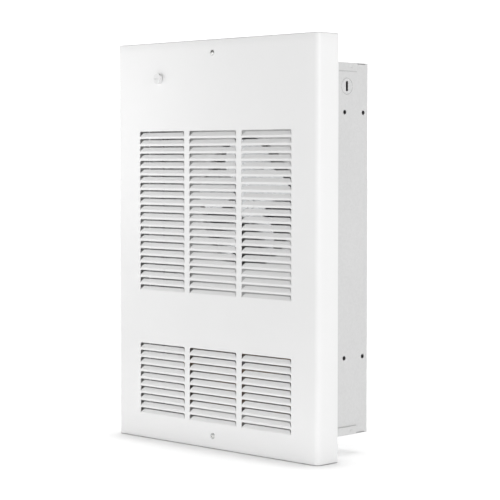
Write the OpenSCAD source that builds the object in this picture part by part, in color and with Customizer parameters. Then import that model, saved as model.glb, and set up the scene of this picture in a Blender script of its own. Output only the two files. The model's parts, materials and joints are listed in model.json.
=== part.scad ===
// Recessed fan-forced wall heater: a louvred steel cover over a galvanised box.
// X is across the front, Y runs into the wall and Z is up. The origin is the
// middle of the box's flat back face, and the front faces -Y. Millimetres.

/* [Cover] */
// Width of the front cover
cover_w = 454; // [440:1:480]
// Height of the front cover
cover_h = 650; // [640:1:690]
// How far the cover stands out from the wall
cover_d = 46; // [42:1:60]
// Sheet thickness of the cover
cover_t = 1.2; // [1:0.1:1.6]
// Outside radius of the two upright folds
fold_r = 8; // [5:0.5:12]
// Gap between the box's sides and the flange along the cover's rear edge
flange_gap = 1.5; // [1.3:0.1:10]
// How far the cover reaches past the box, as the mean of its top and bottom
cover_past = 36.5; // [33:0.5:37]
// How far the middle of the cover is above the middle of the box
cover_raise = 4; // [0:0.5:8]
// Distance from the cover's top to the upper cover screw
cover_screw_down = 22; // [18:0.5:24]
// Distance from the cover's bottom to the lower cover screw
cover_screw_rise = 20; // [16:0.5:24]
// Diameter of the cover screws' shanks
cover_screw_d = 4.2; // [3.5:0.1:5]
// Diameter of the cover screws' heads
cover_head_d = 10; // [8:0.1:10.5]

/* [Louvers] */
// Rows in the upper, intake grille
upper_rows = 22; // [18:1:22]
// Rows in the lower, outlet grille
lower_rows = 10; // [8:1:10]
// Columns of louvers in each grille
louver_columns = 3; // [2:1:3]
// Distance from the cover's top to the first slit of the upper grille
upper_grille_down = 143.8; // [140:0.1:150]
// Distance from the cover's bottom to the first slit of the lower grille
lower_grille_rise = 157.4; // [154:0.2:160]
// Distance from one row to the next
louver_pitch = 12; // [11.5:0.1:12.2]
// Width of one louver opening
louver_w = 107; // [90:1:110]
// Height of one louver opening
louver_h = 9; // [8:0.1:9.5]
// Plain metal between two columns
column_gap = 11.5; // [10:0.5:20]
// Corner radius at the top of an opening
louver_corner_r = 2.4; // [1:0.1:3]
// Length of a blade from its fold to its free edge
blade_len = 9.4; // [7:0.1:10]
// Lean of a blade into the heater, from upright
blade_lean = 42; // [35:1:50]
// How much a blade's free edge is shorter at each end
blade_taper = 10; // [4:0.5:12]

/* [Box] */
// Width of the recessed box
box_w = 396; // [384:1:404]
// Depth of the recessed box in the wall
box_d = 102; // [102:1:120]
// Sheet thickness of the box and of the plates inside it
sheet_t = 1.2; // [1:0.1:1.5]
// Outside bend radius at the rear corners of the box
bend_r = 4; // [2:0.5:6]
// Height of the end caps' tabs on the side walls
tab_h = 13; // [10:0.5:16]
// Distance from the box's back to the end of a tab
tab_end = 28; // [20:1:40]
// Diameter of the spot weld dimples
dimple_d = 4.5; // [3:0.5:6]
// Diameter of the stud screw holes in the side walls
stud_hole_d = 7; // [5:0.1:9]
// Distance from the back to the rear stud holes
stud_hole_in = 13; // [10:0.5:16]
// Spacing of the stud holes across the depth
stud_hole_dy = 43; // [38:0.5:46]
// Distance from the box's top to the upper stud holes
stud_hole_down = 76.5; // [72:0.5:80]
// Spacing of the stud holes up and down
stud_hole_dz = 380; // [376:1:384]
// Diameter of the conduit knockouts
knockout_d = 25.5; // [24:0.1:29]
// Distance from the back to the middle of the knockouts
knockout_in = 51; // [50:0.5:54]
// Distance from the box's top to the middle of the knockouts
knockout_down = 36.5; // [30:0.5:40]

/* [Deck] */
// How far the fan deck is set back from the wall face
deck_recess = 28; // [26:0.5:29]
// How far the control panel is set back from the wall face
panel_recess = 12; // [10:0.5:14]
// Gap between the edges of the deck and the box
deck_edge_gap = 4; // [3:0.5:6]
// Distance from the box's top to the partition under the wiring space
partition_down = 88.5; // [85:0.5:94]
// Height of the divider between intake and outlet air above the box's bottom
divider_rise = 130.5; // [128:0.5:138]
// Length of the small brackets that carry the deck
deck_bracket_len = 18; // [14:0.5:20]
// Thickness of the steel brackets
bracket_t = 1.5; // [1.2:0.1:2]

/* [Fan] */
// Distance from the box's top to the fan's axis
fan_down = 218.5; // [213:0.5:226]
// Diameter of the fan over its blade tips
fan_d = 203; // [180:1:206]
// Number of blades
blade_count = 5; // [4:1:5]
// Gap between the blade tips and the fan opening
tip_gap = 4; // [3:0.5:6]
// Pitch of the fan blades
fan_pitch = 24; // [16:1:26]
// Sheet thickness of the fan blades
fan_t = 1.5; // [1:0.1:2]
// Diameter of the fan hub
hub_d = 26; // [22:1:32]
// Length of the fan hub
hub_len = 14; // [12:0.5:15]
// Diameter of the motor shaft
shaft_d = 8; // [6:0.5:9]

/* [Motor] */
// Diameter of the motor can
motor_d = 84; // [80:1:88]
// Length of the motor can
motor_len = 26; // [24:1:27]
// Wall thickness of the motor can
can_t = 2.4; // [1.5:0.1:3]
// Diameter of the rotor
rotor_d = 40; // [34:1:42]
// Air gap between rotor and stator poles
air_gap = 0.5; // [0.4:0.1:1]
// Spacing of the two motor bolts
motor_bolt_span = 100; // [97:1:110]
// Width of the strap that holds the motor
strap_w = 30; // [20:1:36]

/* [Heating element] */
// Height of the element's middle above the box's bottom
element_rise = 68.5; // [67:0.5:70]
// Distance from the box's side to the element's end plate
element_side = 36; // [34:0.5:44]
// Height of the outlet opening
outlet_h = 104; // [100:1:106]
// Diameter of the element's tube
tube_d = 8; // [6.5:0.5:9]
// Spacing of the tube's passes
pass_gap = 24; // [22:0.5:25]
// Spacing of the fins
fin_pitch = 4; // [3.5:0.5:6]
// Thickness of a fin
fin_t = 0.5; // [0.4:0.1:0.6]
// Depth of a fin
fin_depth = 36; // [30:1:38]

/* [Controls] */
// Distance of the thermostat's axis from the heater's middle, to the left
knob_left = 124; // [112:1:130]
// Distance from the cover's top to the thermostat's axis
knob_down = 58.5; // [55:0.5:60]
// Diameter of the thermostat knob
knob_d = 16.5; // [16:0.5:24]
// How far the knob stands out of the cover
knob_out = 5.5; // [3:0.1:8]
// Diameter of the thermostat's spindle
spindle_d = 6; // [5:0.1:7]
// Width of the thermostat's body
thermostat_w = 42; // [36:1:46]
// Height of the thermostat's body
thermostat_h = 26; // [22:1:28]
// Distance from the box's top to the middle of the switch and the terminal block
control_down = 45.5; // [43:0.5:50]
// Distance of the disconnect switch from the heater's middle, to the left
switch_left = 20; // [10:1:28]
// Distance of the terminal block from the heater's middle, to the right
block_right = 100; // [80:1:120]
// Tilt of the switch's rocker in each position
rocker_tilt = 10; // [6:1:12]
// Distance of the high limit from the heater's middle, to the left
limit_left = 94; // [80:1:110]
// Height of the high limit above the box's bottom
limit_rise = 158.5; // [155:0.5:170]
// Travel of the reset button
reset_travel = 2; // [1:0.1:2.5]
// Diameter of the internal leads
lead_d = 3; // [2:0.1:3.4]

/* [Fits] */
// Radial clearance of a shaft or spindle in its bush
run_clear = 0.04; // [0.02:0.01:0.08]
// Radial clearance of parts that are pushed together
push_clear = 0.1; // [0.05:0.01:0.15]
// Radial clearance of screws in plain holes
hole_clear = 0.4; // [0.2:0.05:0.5]
// Gap between parts that move past each other
move_gap = 0.4; // [0.3:0.05:0.6]

/* [Hidden] */
$fn = 48;

// Main planes
wall_y = -box_d;
front_y = wall_y - cover_d;
cover_in_y = front_y + cover_t;
deck_y = wall_y + deck_recess;
deck_back = deck_y + sheet_t;
panel_y = wall_y + panel_recess;
panel_back = panel_y + sheet_t;
cover_top = cover_raise + cover_h / 2;
cover_bottom = cover_raise - cover_h / 2;
return_w = (cover_w - box_w) / 2 - flange_gap;
box_h = cover_h - 2 * cover_past;
box_top = box_h / 2;
box_bottom = -box_h / 2;
cap_in = box_h / 2 - sheet_t;
side_in = box_w / 2 - sheet_t;
back_in = -sheet_t;

// Heights in the box
knockout_up = box_top - knockout_down;
control_up = box_top - control_down;
partition_up = box_top - partition_down;
fan_up = box_top - fan_down;
limit_up = box_bottom + limit_rise;
divider_up = box_bottom + divider_rise;
element_up = box_bottom + element_rise;
element_w = box_w - 2 * element_side;

// Cover screws and the brackets behind them
cover_screw_z = [cover_top - cover_screw_down, cover_bottom + cover_screw_rise];
cover_screw_len = 10;
cover_head_h = 2.2;
cover_screw_turn = 28;
bracket_w = 40;
bracket_foot = 30;
pad_past = 9;

// Box: corner reliefs, holes, weld dimples and rear flanges
relief_h = 0.9;
relief_y0 = -tab_end;
relief_y1 = -8;
stud_z = [box_top - stud_hole_down, box_top - stud_hole_down - stud_hole_dz];
stud_y = [-stud_hole_in, -stud_hole_in - stud_hole_dy];
dimple_y = [-41, -82];
dimple_in = 6.5;
dimple_r = 4;
dimple_sink = dimple_r - sqrt(dimple_r * dimple_r - dimple_d * dimple_d / 4);
rear_flange_w = 300;
rear_flange_h = 12;

// Knockout slug and the bushing in the other knockout
slug_gap = 0.4;
slug_tie_w = 2.5;
pry_slot_w = 5.2;
pry_slot_h = 15.2;
bushing_bore = 20;
bushing_flange = 2.5;
bushing_lip = 0.9;
bushing_rim = 3;
snap_rim = 0.8;
face_clear = 0.05;

// Louver grid
upper_slit_z = cover_top - upper_grille_down;
lower_slit_z = cover_bottom + lower_grille_rise;
column_pitch = louver_w + column_gap;
lance_gap = 0.4;
column_x = [for (i = [0 : louver_columns - 1]) (i - (louver_columns - 1) / 2) * column_pitch];
louver_z = concat([for (i = [0 : upper_rows - 1]) upper_slit_z - louver_h - i * louver_pitch],
                  [for (i = [0 : lower_rows - 1]) lower_slit_z - louver_h - i * louver_pitch]);

// Deck, panel and the brackets that carry them
deck_half = side_in - deck_edge_gap;
deck_bottom = -cap_in + deck_edge_gap;
panel_top = cap_in - deck_edge_gap;
seam = 0.5;
deck_screw_x = side_in - 12;
deck_bracket_w = 20;
deck_screw_d = 4;
deck_head_d = 8;
deck_head_h = 2;
deck_screw_len = 8;
low_head_d = 7;
low_head_h = 1.8;
low_screw_len = 7;
panel_screw_rise = 22;
upper_screw_drop = 30;
lower_screw_rise = 18;
deck_screw_z = [partition_up - upper_screw_drop, divider_up + lower_screw_rise];
deck_screw_places = [for (z = deck_screw_z) [deck_y, z]];
panel_screw_z = partition_up + panel_screw_rise;
bracket_leg = 17;
partition_z0 = partition_up - sheet_t;
partition_side_gap = 3;
partition_lip_h = 9;
grommet_wall = 2;
grommet_lip = 2.5;
grommet_lip_t = 1.5;
divider_flange = 12;
divider_gap = 0.5;
bent_edge = 8;

// Fan and motor, front to back behind the deck
strap_gap = 4.8;
strap_back = back_in - strap_gap;
strap_t = 2;
strap_leg_x = 130;
strap_foot = 14;
strap_screw_x = strap_leg_x + 8;
bell_t = 3;
rear_bell_depth = 6;
front_bell_depth = 8;
can_y1 = strap_back - strap_t - rear_bell_depth;
can_y0 = can_y1 - motor_len;
bell_front = can_y0 - front_bell_depth;
boss_len = 4;
boss_d = 22;
motor_bolt_d = 4;
motor_head_d = 7;
motor_head_h = 2;
motor_bolt_end = 0.6;
motor_nut_h = 3;
motor_nut_w = 8;
ear_w = 14;
bush_d = 14;
hub_gap = 2;
hub_y1 = bell_front - boss_len - hub_gap;
hub_y0 = hub_y1 - hub_len;
hub_disc_in = 2;
hub_disc_y = hub_y0 + hub_disc_in;
blade_ahead = 9;
blade_mid_y = hub_disc_y - blade_ahead;
hub_disc_d = 78;
blade_root = 7.5;
blade_lobe_r = (fan_d / 2 - hub_disc_d / 2 + blade_root) / 2;
blade_reach = 80;
blade_chord = 80;
blade_depth = 60;
camber_r = 90;
camber_rise = 2;
opening_r = fan_d / 2 + tip_gap;
collar_len = 16;
mouth_r = 5;
stator_d = motor_d - 2 * can_t - 2 * push_clear;
core_len = motor_len - 4;
core_y = (can_y0 + can_y1) / 2;
pole_count = 4;
pole_w = 14;
pole_ring_t = 6;
coil_w = 24;
coil_t = 8;
coil_len = core_len + 8;
cup_d = motor_d - 14;
vent_d = 8;
vent_in = 10;
cup_in_r = cup_d / 2 - bell_t;
coil_r1 = sqrt(pow(cup_in_r - 0.5, 2) - pow(coil_w / 2, 2));
shaft_y0 = hub_y0 - 1;
set_screw_d = 5;
set_screw_y = hub_y1 - 5;
socket_w = 2.9;
rear_wall = 1.5;
rear_bore_y = strap_back - strap_t - rear_wall;
shaft_y1 = rear_bore_y - 0.8;

// Heating element
tube_depth = 24.8;
tube_y = deck_back + tube_depth;
frame_depth = 46;
frame_y1 = deck_back + frame_depth;
frame_t = 1.2;
frame_flange = 8;
passes = 4;
bend_past = 4;
end_x = element_w / 2 + frame_t + bend_past;
tail_len = 7;
tail_x = end_x + tail_len;
pin_d = 3.6;
pin_len = 18;
pin_x = tail_x + pin_len;
insulator_d = 10;
insulator_t = 4;
pin_in = 7.5;
fin_h = outlet_h - 8;
fin_span = element_w - 12;
fin_count = floor(fin_span / fin_pitch) + 1;
pass_z = [for (i = [0 : passes - 1]) element_up + ((passes - 1) / 2 - i) * pass_gap];
frame_screw_x = 120;
frame_screw_z = [for (side = [-1, 1]) element_up + side * (outlet_h / 2 + frame_t + 5)];

// Thermostat
knob_z = cover_top - knob_down;
knob_x = -knob_left;
thermostat_d = 24;
neck_d = 10;
neck_len = 6;
th_bracket_y = cover_in_y + 9.3;
thermostat_y0 = th_bracket_y + bracket_t;
thermostat_y1 = thermostat_y0 + thermostat_d;
th_bracket_w = thermostat_w + 8;
th_bracket_h = 20;
th_foot = 11;
th_nut_w = 14;
th_nut_h = 2.5;
knob_boss_d = 11;
knob_boss_len = cover_t + 2;
knob_slot_w = 1.6;
knob_slot_l = 10.5;
knob_slot_depth = 1.2;
knob_wall = 1.5;
lead_hole_x = 8;
knob_y0 = front_y - knob_out;
knob_back = front_y - move_gap;
spindle_y0 = knob_y0 + knob_wall + knob_slot_depth;
spindle_in = 6;
spindle_flat = 1;
th_tab = 4;
th_screw_x = th_bracket_w / 2 + th_foot / 2;
small_screw_d = 3;
small_head_d = 5.5;
small_head_h = 1.6;
small_screw_len = 5;
tab_w = 4;
tab_h_half = 3;

// Disconnect switch and terminal block
switch_x = -switch_left;
bezel_w = 32;
bezel_h = 26;
bezel_t = 2;
switch_w = 27;
switch_h = 21;
switch_depth = 26;
switch_y1 = panel_back + switch_depth;
pocket_w = 19;
pocket_h = 16;
pocket_depth = 14;
rocker_w = 18;
rocker_half = 6.4;
rocker_y = panel_y + 4;
rocker_face = panel_y - bezel_t - 2;
rocker_dish = 18;
rocker_dish_depth = 1.2;
pivot_d = 3;
pivot_past = 1.6;
pin_wide = 3;
pin_side = 7;
terminal_row = 9;
terminal_dip = 4;
terminal_screw_d = 3;
terminal_head_d = 6;
terminal_head_h = 2;
terminal_screw_len = 8;
terminal_bore_depth = 14;
terminal_bay_w = 10;
block_hole_in = 3;
block_hole_d = 3.2;
ground_head_w = 9;
ground_head_h = 3;
ground_screw_d = 4;
ground_side = 33.8;
ground_drop = 17;
ground_x = side_in - ground_side;
ground_z = control_up - ground_drop;
block_w = 56;
block_h = 28;
block_d = 18;
pole_pitch = 16;
block_y0 = back_in - block_d;

// High limit
limit_x = -limit_left;
limit_d = 16;
limit_len = 12;
limit_plate_w = 36;
limit_plate_h = 18;
rivet_x = 13;
button_d = 4.6;
button_out = 6;
limit_pin_x = 6;
limit_pin_len = 6;
rivet_d = 3.2;
rivet_head_d = 5.6;
rivet_head_h = 1.2;
rivet_len = 4;
limit_pin_t = 1.2;
limit_pin_h = 5;
limit_plate_t = 1;
button_in = 5;

// Routes of the internal leads, as square turns between named places
lead_bend = 6;
lead_dip = 1.7;
lead_seat = 0.1;
switch_pin_y = switch_y1 + 4;
lead_ahead = 22;
near_y = block_y0 - lead_ahead;
grommet_side = 19.8;
grommet_x = -(side_in - grommet_side);
grommet_y = -40;
grommet_hole_d = 24;
motor_lead_y = core_y;
motor_grommet_hole_d = 10;
row_up = control_up + terminal_row;
row_down = control_up - terminal_row;
limit_pin_y = deck_back + limit_len + limit_pin_len;
pin_face = tube_y + pin_d / 2 + lead_seat;
th_feed_y = -47;
th_return_y = -44;
return_x = grommet_x + 4;
element_feed_y = -30;
element_feed_x = grommet_x - 8;
element_back_y = -36;
element_back_x = grommet_x - 4;
motor_back_x = grommet_x - 12;
motor_rear_y = -11;
motor_top_z = partition_up + 16;
motor_low_z = limit_up + 18;
coil_lead_z = motor_d / 2 - 2;
route_line_1 = [[block_right - pole_pitch, block_y0 + lead_dip, row_down],
                [block_right - pole_pitch, near_y, row_down],
                [switch_x + pin_side, near_y, row_down],
                [switch_x + pin_side, switch_pin_y, row_down]];
route_line_2 = [[block_right, block_y0 + lead_dip, row_up],
                [block_right, near_y, row_up],
                [switch_x + pin_side, near_y, row_up],
                [switch_x + pin_side, switch_pin_y, row_up]];
route_thermostat_in = [[switch_x - pin_side, switch_pin_y, row_up],
                       [switch_x - pin_side, th_feed_y, row_up],
                       [knob_x + lead_hole_x, th_feed_y, row_up],
                       [knob_x + lead_hole_x, th_feed_y, knob_z],
                       [knob_x + lead_hole_x, thermostat_y1, knob_z]];
route_limit_in = [[knob_x - lead_hole_x, thermostat_y1, knob_z],
                  [knob_x - lead_hole_x, th_return_y, knob_z],
                  [return_x, th_return_y, knob_z],
                  [return_x, th_return_y, limit_up],
                  [limit_x - limit_pin_x, th_return_y, limit_up],
                  [limit_x - limit_pin_x, limit_pin_y, limit_up]];
route_element_in = [[limit_x + limit_pin_x, limit_pin_y, limit_up],
                    [limit_x + limit_pin_x, element_feed_y, limit_up],
                    [element_feed_x, element_feed_y, limit_up],
                    [element_feed_x, tube_y, limit_up],
                    [element_feed_x, tube_y, pass_z[0] + pin_d / 2 + lead_seat]];
route_element_out = [[element_back_x, pin_face, pass_z[passes - 1]],
                     [element_back_x, element_back_y, pass_z[passes - 1]],
                     [element_back_x, element_back_y, row_down],
                     [switch_x - pin_side, element_back_y, row_down],
                     [switch_x - pin_side, switch_pin_y, row_down]];
route_motor_1 = [[0, motor_lead_y, fan_up + coil_lead_z],
                 [0, motor_lead_y, motor_top_z],
                 [0, motor_rear_y, motor_top_z],
                 [block_right + pole_pitch, motor_rear_y, motor_top_z],
                 [block_right + pole_pitch, motor_rear_y, control_up - block_h / 2]];
route_motor_2 = [[0, motor_lead_y, fan_up - coil_lead_z],
                 [0, motor_lead_y, motor_low_z],
                 [motor_back_x, motor_lead_y, motor_low_z],
                 [motor_back_x, motor_lead_y, pass_z[0]],
                 [motor_back_x, pin_face, pass_z[0]]];

// ---------- Helpers ----------

module block(x0, x1, y0, y1, z0, z1) {
    translate([x0, y0, z0]) cube([x1 - x0, y1 - y0, z1 - z0]);
}

module rod_y(x, z, y0, y1, d) {
    translate([x, y0, z]) rotate([-90, 0, 0]) cylinder(h = y1 - y0, d = d);
}

module rod_x(x0, x1, y, z, d) {
    translate([x0, y, z]) rotate([0, 90, 0]) cylinder(h = x1 - x0, d = d);
}

// A flat shape drawn in X and Z, thick in Y from y0 to y0 + t
module plate(y0, t) {
    translate([0, y0 + t, 0]) rotate([90, 0, 0]) linear_extrude(t) children();
}

// A shape drawn in Y and Z, drawn out along X from x0 over w
module strip(x0, w) {
    translate([x0, 0, 0]) rotate([90, 0, 90]) linear_extrude(w) children();
}

// Screw with a domed, slotted head on the -Y side of the face at y
module screw_y(x, y, z, d, head_d, head_h, len, turn = 0) {
    dome_r = (head_d * head_d / 4 + head_h * head_h) / (2 * head_h);
    slot = [head_d + 1, 1, head_h];
    translate([x, y, z]) rotate([90, 0, 0]) difference() {
        union() {
            translate([0, 0, -len]) cylinder(h = len + head_h / 3, d = d);
            intersection() {
                cylinder(h = head_h, d = head_d);
                translate([0, 0, head_h - dome_r]) sphere(r = dome_r);
            }
        }
        rotate([0, 0, turn]) translate([-slot[0] / 2, -slot[1] / 2, head_h * 0.55]) cube(slot);
    }
}

module hex_nut_y(x, y0, z, width, h, bore) {
    translate([x, y0, z]) rotate([-90, 0, 0]) difference() {
        cylinder(h = h, d = width, $fn = 6);
        translate([0, 0, -1]) cylinder(h = h + 2, d = bore);
    }
}

// A round lead along square turns, with a bend of lead_bend at each inner point
function unit(v) = v / norm(v);
module lead(route) {
    last = len(route) - 1;
    for (i = [0 : last - 1]) {
        dir = unit(route[i + 1] - route[i]);
        start = route[i] + (i == 0 ? 0 : lead_bend) * dir;
        end = route[i + 1] - (i == last - 1 ? 0 : lead_bend) * dir;
        translate(start) rod_along(dir, norm(end - start));
    }
    for (i = [1 : last - 1]) {
        from = unit(route[i - 1] - route[i]);
        to = unit(route[i + 1] - route[i]);
        up = cross(from, to);
        middle = route[i] + lead_bend * (from + to);
        multmatrix([[-from[0], -to[0], up[0], middle[0]],
                    [-from[1], -to[1], up[1], middle[1]],
                    [-from[2], -to[2], up[2], middle[2]]])
            rotate_extrude(angle = 90) translate([lead_bend, 0]) circle(d = lead_d);
    }
}

module rod_along(dir, len) {
    turn = abs(dir[2]) > 0.5 ? [dir[2] > 0 ? 0 : 180, 0, 0]
         : abs(dir[0]) > 0.5 ? [0, dir[0] > 0 ? 90 : -90, 0]
         : [dir[1] > 0 ? -90 : 90, 0, 0];
    rotate(turn) cylinder(h = len, d = lead_d);
}

// ---------- Cover ----------

// Plan of a tray with rounded front corners, from y = -d to the wall plane
module tray_plan(w, d, r) {
    translate([-w / 2, -d + r]) square([w, d - r]);
    translate([-w / 2 + r, -d]) square([w - 2 * r, d]);
    for (side = [-1, 1]) translate([side * (w / 2 - r), -d + r]) circle(r = r);
}

module louver_opening() {
    r = louver_corner_r;
    polygon(concat(
        [[-louver_w / 2, 0], [louver_w / 2, 0]],
        [for (a = [0 : 30 : 90]) [louver_w / 2 - r + r * cos(a), louver_h - r + r * sin(a)]],
        [for (a = [90 : 30 : 180]) [-louver_w / 2 + r + r * cos(a), louver_h - r + r * sin(a)]]));
}

// A blade lies on the fold at the bottom of its opening and leans inward
module louver_blade() {
    half = louver_w / 2 - lance_gap;
    rotate([90 - blade_lean, 0, 0]) translate([0, 0, -cover_t]) linear_extrude(cover_t)
        polygon([[-half, 0], [half, 0], [half - blade_taper, blade_len], [-half + blade_taper, blade_len]]);
}

module front_cover() {
    color("white") {
        difference() {
            translate([0, wall_y, cover_bottom]) linear_extrude(cover_h)
                tray_plan(cover_w, cover_d, fold_r);
            translate([0, wall_y - cover_t, cover_bottom + cover_t]) linear_extrude(cover_h - 2 * cover_t)
                tray_plan(cover_w - 2 * cover_t, cover_d - 2 * cover_t, fold_r - cover_t);
            block(-cover_w / 2 + return_w, cover_w / 2 - return_w, wall_y - 2 * cover_t, wall_y + 1,
                  cover_bottom + return_w, cover_top - return_w);
            for (x = column_x, z = louver_z)
                translate([x, 0, z]) plate(front_y - 1, cover_t + 2) louver_opening();
            rod_y(knob_x, knob_z, front_y - 1, cover_in_y + 1, knob_boss_d + 2 * move_gap);
            for (z = cover_screw_z)
                rod_y(0, z, front_y - 1, cover_in_y + 1, cover_screw_d + 2 * hole_clear);
        }
        for (x = column_x, z = louver_z) translate([x, front_y, z]) louver_blade();
    }
}

module cover_screws() {
    color("silver") for (z = cover_screw_z)
        screw_y(0, front_y, z, cover_screw_d, cover_head_d, cover_head_h, cover_screw_len,
                 cover_screw_turn);
}

// An arm along the end cap, with a pad behind the cover for its screw
module cover_bracket(side) {
    z_cap = side * cap_in;
    z_arm = z_cap - side * bracket_t;
    z_pad = (side > 0 ? cover_screw_z[0] : cover_screw_z[1]) + side * pad_past;
    difference() {
        union() {
            block(-bracket_w / 2, bracket_w / 2, cover_in_y, wall_y + bracket_foot,
                  min(z_cap, z_arm), max(z_cap, z_arm));
            block(-bracket_w / 2, bracket_w / 2, cover_in_y, cover_in_y + bracket_t,
                  min(z_arm, z_pad), max(z_arm, z_pad));
        }
        rod_y(0, side > 0 ? cover_screw_z[0] : cover_screw_z[1], cover_in_y - 1,
              cover_in_y + bracket_t + 1, cover_screw_d + 2 * push_clear);
    }
}

module cover_bracket_top() {
    color("silver") cover_bracket(1);
}

module cover_bracket_bottom() {
    color("silver") cover_bracket(-1);
}

// ---------- Box ----------

// Plan of the box with rounded rear corners, from y = -d to 0
module box_plan(w, d, r) {
    translate([-w / 2, -d]) square([w, d - r]);
    translate([-w / 2 + r, -d]) square([w - 2 * r, d]);
    for (side = [-1, 1]) translate([side * (w / 2 - r), -r]) circle(r = r);
}

module box_wrap() {
    color("lightgray") difference() {
        translate([0, 0, -cap_in]) linear_extrude(2 * cap_in) box_plan(box_w, box_d, bend_r);
        translate([0, -sheet_t, -cap_in - 1]) linear_extrude(2 * cap_in + 2)
            box_plan(box_w - 2 * sheet_t, box_d, bend_r - sheet_t);
        for (side = [-1, 1], y = stud_y, z = stud_z)
            rod_x(side * box_w / 2 - 3, side * box_w / 2 + 3, y, z, stud_hole_d);
        for (side = [-1, 1])
            rod_x(side * box_w / 2 - 3, side * box_w / 2 + 3, -knockout_in, knockout_up, knockout_d);
        for (side = [-1, 1], end = [-1, 1])
            translate([side * box_w / 2, (relief_y0 + relief_y1) / 2, end * cap_in])
                cube([4 * sheet_t, relief_y1 - relief_y0, 2 * relief_h], center = true);
    }
}

module end_cap(side) {
    plate_z0 = side > 0 ? cap_in : -box_h / 2;
    tab_z0 = side > 0 ? box_h / 2 - tab_h : -box_h / 2;
    flange_z0 = side > 0 ? box_h / 2 - rear_flange_h : -box_h / 2;
    outer_w = box_w + 2 * sheet_t;
    difference() {
        union() {
            translate([0, 0, plate_z0]) linear_extrude(sheet_t) {
                box_plan(box_w, box_d, bend_r);
                translate([-outer_w / 2, -box_d]) square([outer_w, box_d - tab_end]);
            }
            for (x0 = [-outer_w / 2, box_w / 2])
                block(x0, x0 + sheet_t, -box_d, -tab_end, tab_z0, tab_z0 + tab_h);
            block(-rear_flange_w / 2, rear_flange_w / 2, back_in - sheet_t, back_in,
                  flange_z0, flange_z0 + rear_flange_h);
        }
        for (x = [-1, 1], y = dimple_y)
            translate([x * (outer_w / 2 + dimple_r - dimple_sink), y, side * (box_h / 2 - dimple_in)])
                sphere(r = dimple_r);
    }
}

module box_top_cap() {
    color("lightgray") end_cap(1);
}

module box_bottom_cap() {
    color("lightgray") end_cap(-1);
}

module knockout_slug() {
    color("lightgray") translate([box_w / 2 - sheet_t, -knockout_in, knockout_up]) rotate([0, 90, 0])
        linear_extrude(sheet_t) difference() {
            union() {
                circle(d = knockout_d - 2 * slug_gap);
                intersection() {
                    circle(d = knockout_d);
                    square([slug_tie_w, knockout_d + 1], center = true);
                }
            }
            square([pry_slot_h, pry_slot_w], center = true);
        }
}

module supply_bushing() {
    neck_r = knockout_d / 2 - push_clear;
    color("dimgray") translate([-box_w / 2 - bushing_lip, -knockout_in, knockout_up]) rotate([0, 90, 0])
        rotate_extrude() difference() {
            union() {
                square([neck_r, bushing_lip + sheet_t + bushing_flange]);
                square([neck_r + snap_rim, bushing_lip - face_clear]);
                translate([0, bushing_lip + sheet_t + face_clear])
                    square([neck_r + bushing_rim, bushing_flange - face_clear]);
            }
            translate([0, -1]) square([bushing_bore / 2, bushing_lip + sheet_t + bushing_flange + 2]);
        }
}

// ---------- Deck, panel and plates ----------

module deck_bracket(side, z, back) {
    half = deck_bracket_w / 2;
    x_wall = side * side_in;
    x_leg = side * (side_in - bracket_leg);
    x_foot = side * (side_in - bracket_t);
    difference() {
        union() {
            block(min(x_wall, x_leg), max(x_wall, x_leg), back, back + bracket_t,
                  z - half, z + half);
            block(min(x_wall, x_foot), max(x_wall, x_foot), back, back + deck_bracket_len,
                  z - half, z + half);
        }
        rod_y(side * deck_screw_x, z, back - 1, back + bracket_t + 1,
              deck_screw_d + 2 * push_clear);
    }
}

module deck_brackets() {
    color("silver") for (side = [-1, 1]) {
        for (z = deck_screw_z) deck_bracket(side, z, deck_back);
        deck_bracket(side, panel_screw_z, panel_back);
    }
}

module fan_deck() {
    color("gainsboro") difference() {
        union() {
            plate(deck_y, sheet_t) difference() {
                translate([-deck_half, deck_bottom])
                    square([2 * deck_half, partition_z0 - seam - deck_bottom]);
                translate([0, fan_up]) circle(r = opening_r + mouth_r);
                translate([-element_w / 2, element_up - outlet_h / 2]) square([element_w, outlet_h]);
            }
            block(-deck_half, deck_half, deck_y, deck_back + bent_edge, deck_bottom, deck_bottom + sheet_t);
            translate([0, deck_y, fan_up]) rotate([-90, 0, 0]) rotate_extrude() {
                translate([opening_r + mouth_r, mouth_r]) intersection() {
                    difference() {
                        circle(r = mouth_r);
                        circle(r = mouth_r - sheet_t);
                    }
                    translate([-mouth_r, -mouth_r]) square(mouth_r);
                }
                translate([opening_r, mouth_r]) square([sheet_t, collar_len - mouth_r]);
            }
        }
        for (side = [-1, 1]) {
            for (z = deck_screw_z)
                rod_y(side * deck_screw_x, z, deck_y - 1, deck_back + 1, deck_screw_d + 2 * hole_clear);
            rod_y(side * strap_screw_x, fan_up, deck_y - 1, deck_back + 1, deck_screw_d + 2 * push_clear);
            for (z = frame_screw_z)
                rod_y(side * frame_screw_x, z, deck_y - 1, deck_back + 1, deck_screw_d + 2 * push_clear);
            rod_y(limit_x + side * rivet_x, limit_up, deck_y - 1, deck_back + 1, rivet_d + 2 * push_clear);
        }
        rod_y(limit_x, limit_up, deck_y - 1, deck_back + 1, button_d + 2 * move_gap);
    }
}

module deck_screws() {
    color("silver") for (side = [-1, 1], place = concat(deck_screw_places, [[panel_y, panel_screw_z]]))
        screw_y(side * deck_screw_x, place[0], place[1], deck_screw_d, deck_head_d, deck_head_h,
                deck_screw_len);
}

module wiring_partition() {
    half = side_in - partition_side_gap;
    color("gainsboro") difference() {
        union() {
            block(-half, half, panel_back + bracket_t + move_gap, back_in, partition_z0, partition_up);
            block(-rear_flange_w / 2, rear_flange_w / 2, back_in - sheet_t, back_in,
                  partition_z0, partition_up + partition_lip_h);
        }
        translate([grommet_x, grommet_y, partition_z0 - 1]) cylinder(h = sheet_t + 2, d = grommet_hole_d);
        translate([0, motor_lead_y, partition_z0 - 1]) cylinder(h = sheet_t + 2, d = motor_grommet_hole_d);
    }
}

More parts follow.
